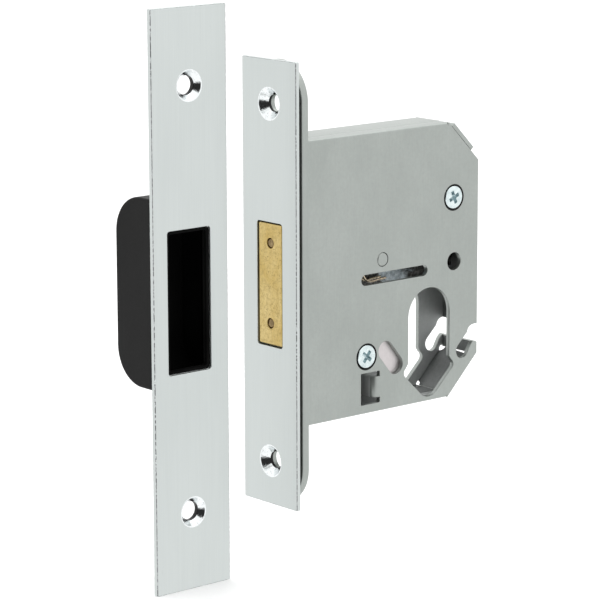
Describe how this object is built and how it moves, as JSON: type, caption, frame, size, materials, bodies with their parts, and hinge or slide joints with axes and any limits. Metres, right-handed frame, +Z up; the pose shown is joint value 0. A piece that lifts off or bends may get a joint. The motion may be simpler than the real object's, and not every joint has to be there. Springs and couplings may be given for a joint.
{
  "type": "mortice deadlock with strike",
  "caption": "Mortice deadlock for a profile cylinder: brass deadbolt in a pressed steel case behind a chromed faceplate, with a matching strike plate and dust box.",
  "frame": {"origin": "middle of the faceplate's front face, on the bolt's centre line", "axes": "+Y into the door, +Z up the faceplate, +X towards the side of the case cover"},
  "size_m": [0.0279, 0.1219, 0.1684],
  "materials": {
    "chrome_plate": "bright plate over a finely brushed face",
    "satin_steel": "satin stainless sheet",
    "bolt_brass": "machined brass",
    "zinc_plate": "bright zinc plate",
    "hard_steel": "dark hardened steel",
    "spring_wire": "phosphor bronze wire",
    "black_plastic": "moulded black plastic"
  },
  "bodies": {
    "lock_case": {"faceplate": "chrome_plate", "inner_forend": "satin_steel", "case_body": "satin_steel", "case_cover": "satin_steel", "cover_screw_upper": "zinc_plate", "cover_screw_lower": "zinc_plate", "screw_pillar_upper": "zinc_plate", "screw_pillar_lower": "zinc_plate", "bolt_guide_post": "zinc_plate", "lever_spacer_far": "zinc_plate", "lever_spacer_middle": "zinc_plate", "lever_spacer_near": "zinc_plate", "hard_plate": "satin_steel", "lever_spring_1": "spring_wire", "lever_spring_2": "spring_wire"},
    "bolt": {"bolt_head": "bolt_brass", "bolt_hard_pin_upper": "hard_steel", "bolt_hard_pin_lower": "hard_steel", "bolt_tail": "zinc_plate", "bolt_rivet_upper": "hard_steel", "bolt_rivet_lower": "hard_steel", "bolt_stump": "hard_steel"},
    "lever_1": {"detainer_lever_1": "zinc_plate"},
    "lever_2": {"detainer_lever_2": "zinc_plate"},
    "strike": {"strike_plate": "chrome_plate", "dust_box": "black_plastic"}
  },
  "joints": [
    {"name": "bolt_slide", "type": "slide", "parent": "lock_case", "child": "bolt", "axis": [0, -1, 0], "range_m": [0, 0.017]},
    {"name": "lever_1_drop", "type": "hinge", "parent": "lock_case", "child": "lever_1", "pos_m": [0, 0.0666, 0.0193], "axis": [1, 0, 0], "range_deg": [0, 6.7], "stiffness_Nm_per_rad": 0.02, "springref_deg": 14.32},
    {"name": "lever_2_drop", "type": "hinge", "parent": "lock_case", "child": "lever_2", "pos_m": [0, 0.0666, 0.0193], "axis": [1, 0, 0], "range_deg": [0, 6.7], "stiffness_Nm_per_rad": 0.02, "springref_deg": 14.32},
    {"name": "strike_swing", "type": "hinge", "parent": "lock_case", "child": "strike", "pos_m": [-0.013, -0.0195, 0], "axis": [0, 0, 1], "range_deg": [0, 90]}
  ],
  "couplings": [
    {"joint": "lever_2_drop", "follows": "lever_1_drop", "ratio": 1}
  ]
}
